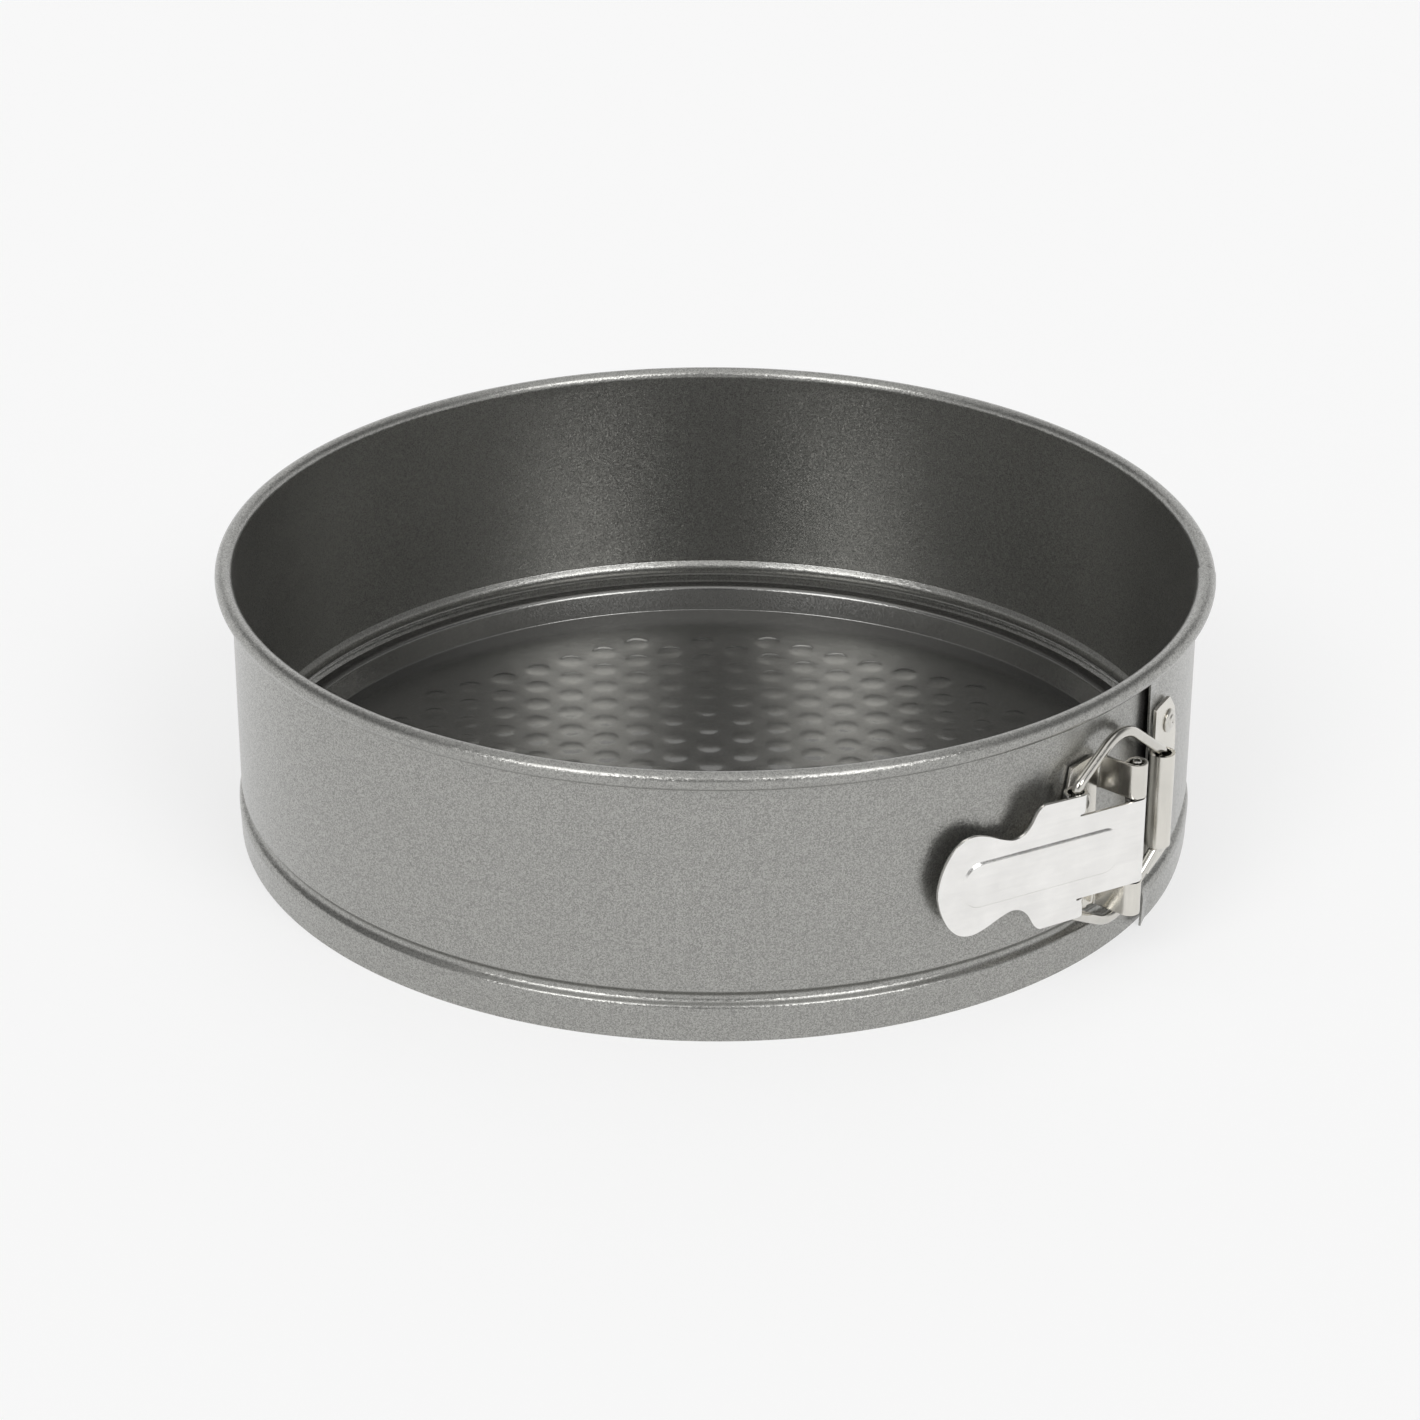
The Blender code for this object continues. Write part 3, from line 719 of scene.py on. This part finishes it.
def lever_outline():
    roll_end = -LEVER_MID * math.radians(LEVER_ROLL_DEG)
    curl_end = CURL_AT[0] - CURL_MID * math.radians(CURL_DEG)
    thumb = curve_through([Vector(point) for point in (
        (27.7, 15.9), (28.9, 14.6), (30.6, 11.6), (32.6, 9.8), (35.2, 9.3), (38.4, 10.3), (42.2, 12.0),
        (45.8, 12.9), (49.3, 12.1), (52.2, 9.4), (54.3, 5.4), (55.3, 1.6), (55.4, 0.0),
    )])
    upper = [
        Vector((roll_end, LEVER_HALF)),
        Vector((CURL_AT[0] + EAR_ROOT, LEVER_HALF)),
        Vector((CURL_AT[0] + EAR_ROOT, LEVER_HALF + EAR_SLOT)),
        Vector((curl_end, LEVER_HALF + EAR_SLOT)),
        Vector((curl_end, 15.9)),
        Vector((26.9, 16.3)),
        *thumb[:-1],
    ]
    return mirrored(upper)


def make_lever(finish):
    guides = []
    for level in RIB_GUIDES:
        half, corner = RIB_HALF + level, RIB_CORNER + level
        length = RIB_HALF_LENGTH + level
        ring = filleted([
            (RIB_MIDDLE - length, -half, corner), (RIB_MIDDLE + length, -half, corner),
            (RIB_MIDDLE + length, half, corner), (RIB_MIDDLE - length, half, corner),
        ], 14, closed=True)
        guides += [tuple(point) for point in resampled(ring, 0.45)]
    mesh = pressed_sheet("lever_plate", lever_outline(), 0.6, lever_place, 0.14, guides)
    mesh.transform(pin_frame())
    lever = new_object("lever_plate", mesh, finish, 50.0)
    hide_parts("latch_lever")
    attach(lever, LEVER)


def make_bail(finish):
    """A flat closed loop of wire, from inside the catch's tube to inside the lever's ears."""
    tube = point_at(TUBE_DEG, TUBE_FROM_AXIS, LATCH_Z) * MM
    seat = pin_frame() @ (Vector((-WIRE_SEAT[0], -WIRE_SEAT[1], 0.0)) * MM)
    reach = (seat - tube).length / MM
    heading = math.atan2(seat.y - tube.y, seat.x - tube.x) - math.pi
    line = filleted([
        (0.0, -WIRE_TUBE_HALF, 2.6),
        (-WIRE_WIDE_AT, -WIRE_WIDE_HALF, 11.0),
        (-reach, -WIRE_SEAT_HALF, 3.0),
        (-reach, WIRE_SEAT_HALF, 3.0),
        (-WIRE_WIDE_AT, WIRE_WIDE_HALF, 11.0),
        (0.0, WIRE_TUBE_HALF, 2.6),
    ], 14, closed=True)
    line = resampled(line, 1.0)
    bm = bmesh.new()
    rows = []
    for index, here in enumerate(line):
        forward = (line[(index + 1) % len(line)] - line[index - 1]).normalized()
        side = Vector((-forward.y, 0.0, forward.x))
        centre = Vector((here.x, 0.0, here.y))
        row = []
        for step in range(WIRE_SIDES):
            angle = math.tau * step / WIRE_SIDES
            ring = side * math.cos(angle) + Vector((0.0, 1.0, 0.0)) * math.sin(angle)
            row.append(bm.verts.new((centre + ring * WIRE_RADIUS) * MM))
        rows.append(row)
    bridge(bm, rows, closed=True)
    mesh = to_mesh("wire_loop", bm)
    mesh.transform(Matrix.Translation(tube) @ Matrix.Rotation(heading, 4, "Z"))
    bail = new_object("wire_loop", mesh, finish)
    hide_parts("wire_bail")
    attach(bail, BAIL)


def catch_place(u, w):
    """The leaf follows the wall, and its strip rolls up into the tube."""
    level = Vector((0.0, 0.0, LATCH_Z + w))
    if u < 0.0:
        angle = -u / TUBE_MID
        axis = outward(TUBE_DEG) * TUBE_FROM_AXIS
        arm = outward(TUBE_DEG) * -math.cos(angle) - along(TUBE_DEG) * math.sin(angle)
        return axis + arm * TUBE_MID + level
    radius = LEAF_MID + (TUBE_FROM_AXIS - TUBE_MID - LEAF_MID) * smooth(1.0 - u / LEAF_SETTLES)
    return outward(TUBE_DEG + math.degrees(u / LEAF_MID)) * radius + level


def make_catch(finish):
    per_degree = math.radians(LEAF_MID)
    near = LEAF_NEAR_DEG * per_degree
    roll_end = -TUBE_MID * math.radians(TUBE_ROLL_DEG)
    outline = filleted([
        (roll_end, TUBE_HALF, 0.0),
        (near, TUBE_HALF, 0.25),
        (near, 22.5, 0.4),
        (4.1 * per_degree, 22.8, 0.8),
        (5.9 * per_degree, 18.4, 2.0),
        (6.7 * per_degree, 11.0, 2.0),
        (6.8 * per_degree, -20.0, 0.9),
        (4.3 * per_degree, -20.7, 0.8),
        (near, -22.0, 0.4),
        (near, -TUBE_HALF, 0.25),
        (roll_end, -TUBE_HALF, 0.0),
    ], 5)
    mesh = pressed_sheet("catch_leaf", outline, 0.5, catch_place, 0.13)
    catch = new_object("catch_leaf", mesh, finish, 50.0)
    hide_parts("catch_plate")
    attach(catch, RIGHT)


def bracket_place(u, w):
    """From the back plate on the wall, round a bend into the webs, which roll up round the pin."""
    level = Vector((0.0, 0.0, LATCH_Z + w))
    pin = outward(PIN_DEG) * PIN_FROM_AXIS
    bend = BEND_RADIUS * math.pi / 2.0
    if u >= 0.0:
        angle = u / LEVER_MID
        x, y = -LEVER_MID * math.cos(angle), LEVER_MID * math.sin(angle)
    elif u >= -WEB_LENGTH:
        x, y = -LEVER_MID, u
    elif u >= -WEB_LENGTH - bend:
        angle = (-WEB_LENGTH - u) / BEND_RADIUS
        x = -LEVER_MID - BEND_RADIUS + BEND_RADIUS * math.cos(angle)
        y = -WEB_LENGTH - BEND_RADIUS * math.sin(angle)
    else:
        rest = -WEB_LENGTH - bend - u
        side = LEVER_MID + BEND_RADIUS
        start = PIN_DEG - math.degrees(math.atan(side / PLATE_MID))
        radius = math.hypot(PLATE_MID, side)
        return outward(start - math.degrees(rest / radius)) * radius + level
    return pin + along(PIN_DEG) * x + outward(PIN_DEG) * y + level


def make_bracket(finish):
    bend_end = -WEB_LENGTH - BEND_RADIUS * math.pi / 2.0
    roll_end = LEVER_MID * math.radians(KNUCKLE_ROLL_DEG)
    far = bend_end - 4.4 * math.radians(PLATE_MID)
    corner = bend_end - 5.2 * math.radians(PLATE_MID)
    top = KNUCKLE_HIGH - 0.1
    upper = [
        Vector((bend_end + 0.2, KNUCKLE_LOW + 0.1)),
        Vector((roll_end, KNUCKLE_LOW + 0.1)),
        Vector((roll_end, top)),
        Vector((bend_end - 1.0, top)),
        Vector((bend_end - 2.0, top + 0.5)),
        Vector((far, top)),
        Vector((corner, KNUCKLE_LOW + 1.0)),
    ]
    mesh = pressed_sheet("bracket_plate", mirrored(upper), 0.5, bracket_place, 0.13)
    bracket = new_object("bracket_plate", mesh, finish, 50.0)
    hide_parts("hinge_bracket")
    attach(bracket, LEFT)


def make_rivet(name, bearing, seat, level, body, finish):
    """Rivet head with a raised middle on a flange, and a shank into the sheet."""
    profile = filleted([
        (0.0, 0.85, 0.0), (0.35, 0.85, 0.1), (0.6, 1.1, 0.15), (1.6, 1.1, 0.3), (1.95, 0.72, 0.12),
        (2.6, 0.66, 0.2), (3.02, 0.3, 0.12), (2.92, 0.02, 0.05), (1.4, 0.02, 0.1), (1.4, -1.4, 0.0),
        (0.0, -1.4, 0.0),
    ], 4)
    angles = [math.tau * index / RIVET_STEPS for index in range(RIVET_STEPS)]
    bm = bmesh.new()
    rows = []
    for radius, height in profile[1:-1]:
        places = [Vector((radius * math.cos(angle), radius * math.sin(angle), height)) for angle in angles]
        rows.append([bm.verts.new(place * MM) for place in places])
    bridge(bm, rows)
    bm.faces.new(rows[0])
    bm.faces.new(rows[-1])
    mesh = to_mesh(name, bm)
    turn = Matrix.Rotation(math.radians(bearing), 4, "Z") @ Matrix.Rotation(math.radians(90), 4, "X")
    mesh.transform(Matrix.Translation(point_at(bearing, seat, level) * MM) @ turn)
    rivet = new_object(name + "_head", mesh, finish)
    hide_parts(name)
    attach(rivet, body)


def make_latch(lever_finish, plate_finish, wire_finish):
    make_lever(lever_finish)
    make_bail(wire_finish)
    make_catch(plate_finish)
    make_bracket(plate_finish)
    half = LATCH_SHEET / 2.0
    for side, tag in ((1.0, "upper"), (-1.0, "lower")):
        bearing, from_middle = CATCH_RIVET
        level = LATCH_Z + side * from_middle
        make_rivet("catch_rivet_" + tag, bearing, LEAF_MID + half, level, RIGHT, wire_finish)
        bearing, from_middle = BRACKET_RIVET
        level = LATCH_Z + side * from_middle
        make_rivet("bracket_rivet_" + tag, bearing, PLATE_MID + half, level, LEFT, wire_finish)
    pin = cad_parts["hinge_pin"]
    pin.data.materials.clear()
    pin.data.materials.append(wire_finish)


# ---------------------------------------------------------------- studio


def make_camera():
    angle = math.radians(CAMERA_ELEVATION)
    back = Vector((0.0, -math.cos(angle), math.sin(angle)))
    right = Vector((1.0, 0.0, 0.0))
    up = Vector((0.0, math.sin(angle), math.cos(angle)))
    place = back * CAMERA_DISTANCE + Vector((0.0, 0.0, CAMERA_TARGET_Z))
    pan, tilt, roll = (math.radians(value) for value in (CAMERA_PAN, CAMERA_TILT, CAMERA_ROLL))
    side = right * math.cos(pan) + back * math.sin(pan)
    ahead = right * math.sin(pan) - back * math.cos(pan)
    rise = up * math.cos(tilt) - ahead * math.sin(tilt)
    ahead = up * math.sin(tilt) + ahead * math.cos(tilt)
    across = side * math.cos(roll) + rise * math.sin(roll)
    upright = rise * math.cos(roll) - side * math.sin(roll)
    data = bpy.data.cameras.new("camera")
    data.lens = CAMERA_LENS
    data.sensor_width = CAMERA_SENSOR
    data.clip_start = 0.05
    camera = bpy.data.objects.new("camera", data)
    rows = Matrix((across, upright, -ahead)).transposed().to_4x4()
    camera.matrix_world = Matrix.Translation(place * MM) @ rows
    bpy.context.scene.collection.objects.link(camera)
    bpy.context.scene.camera = camera


def make_floor():
    bm = bmesh.new()
    bmesh.ops.create_grid(bm, x_segments=1, y_segments=1, size=PAPER_HALF_SIDE)
    bmesh.ops.translate(bm, vec=(0.0, 0.0, -PAPER_DROP * MM), verts=bm.verts)
    mesh = bpy.data.meshes.new("floor")
    bm.to_mesh(mesh)
    bm.free()
    finish, shader, _ = new_material("paper", 0.0)
    shader.inputs["Base Color"].default_value = (PAPER_GREY, PAPER_GREY, PAPER_GREY, 1.0)
    shader.inputs["Roughness"].default_value = 0.9
    shader.inputs["Specular IOR Level"].default_value = 0.0
    shader.inputs["Emission Color"].default_value = (1.0, 1.0, 1.0, 1.0)
    shader.inputs["Emission Strength"].default_value = PAPER_GLOW
    mesh.materials.append(finish)
    floor = bpy.data.objects.new("floor", mesh)
    bpy.context.scene.collection.objects.link(floor)


def make_studio_light():
    """A pale studio: a surround that is white low down and dim above, a soft light overhead, two
    softboxes beside the camera, a weak light behind the pan, and a darker gap round the camera."""
    world = bpy.data.worlds.new("studio")
    world.use_nodes = True
    bpy.context.scene.world = world
    nodes = Nodes(world.node_tree)
    background = world.node_tree.nodes["Background"]
    way = nodes.add("ShaderNodeTexCoord").outputs["Generated"]
    parts = nodes.add("ShaderNodeSeparateXYZ")
    nodes.link(way, parts.inputs["Vector"])

    def near(azimuth, out, up):
        """How close the direction looked in is to the given one: 1 where they agree."""
        return nodes.vector("DOT_PRODUCT", way, tuple(outward(azimuth) * out + Vector((0.0, 0.0, up))))

    total = nodes.ramp(parts.outputs["Z"], **SURROUND)
    total = nodes.math("ADD", total, nodes.ramp(parts.outputs["Z"], **OVERHEAD))
    for azimuth in SOFTBOX_AZIMUTHS:
        towards = near(azimuth, math.cos(SOFTBOX_ELEVATION), math.sin(SOFTBOX_ELEVATION))
        total = nodes.math("ADD", total, nodes.ramp(towards, **SOFTBOX))
    total = nodes.math("ADD", total, nodes.ramp(near(180.0, *BACK_WAY), **BACK_LIGHT))
    total = nodes.math("MULTIPLY", total, nodes.ramp(near(0.0, *CAMERA_WAY), **CAMERA_GAP))
    nodes.link(total, background.inputs["Strength"])
    background.inputs["Color"].default_value = (1.0, 1.0, 1.0, 1.0)
    bpy.context.scene.view_settings.view_transform = "Standard"


make_camera()
make_floor()
make_studio_light()
coating = coating_material(
    "nonstick_coating", color=(0.33, 0.328, 0.312), flake_tilt=0.15, flake_contrast=0.6, rough=0.29,
)
# The tray's coating has fainter flakes and a smoother film than the ring's. Its darker colour is painted
# shade of the pan's inside.
tray_coating_painted_shade = coating_material(
    "tray_coating_painted_shade", color=(0.243, 0.241, 0.232), flake_tilt=0.06, flake_contrast=0.25, rough=0.20,
)
satin = nickel_material(
    "nickel_lever", color=(0.86, 0.85, 0.83), rough=0.2, marks=0.25, grain_scale=(60.0, 60.0, 900.0),
)
bright = nickel_material(
    "nickel_plate", color=(0.70, 0.68, 0.63), rough=0.19, marks=0.4, grain_scale=(1200.0, 1200.0, 90.0),
)
wire = nickel_material(
    "nickel_wire", color=(0.62, 0.605, 0.565), rough=0.09, marks=0.3, grain_scale=(700.0, 700.0, 250.0),
)
make_band(coating)
make_base(tray_coating_painted_shade)
make_latch(satin, bright, wire)
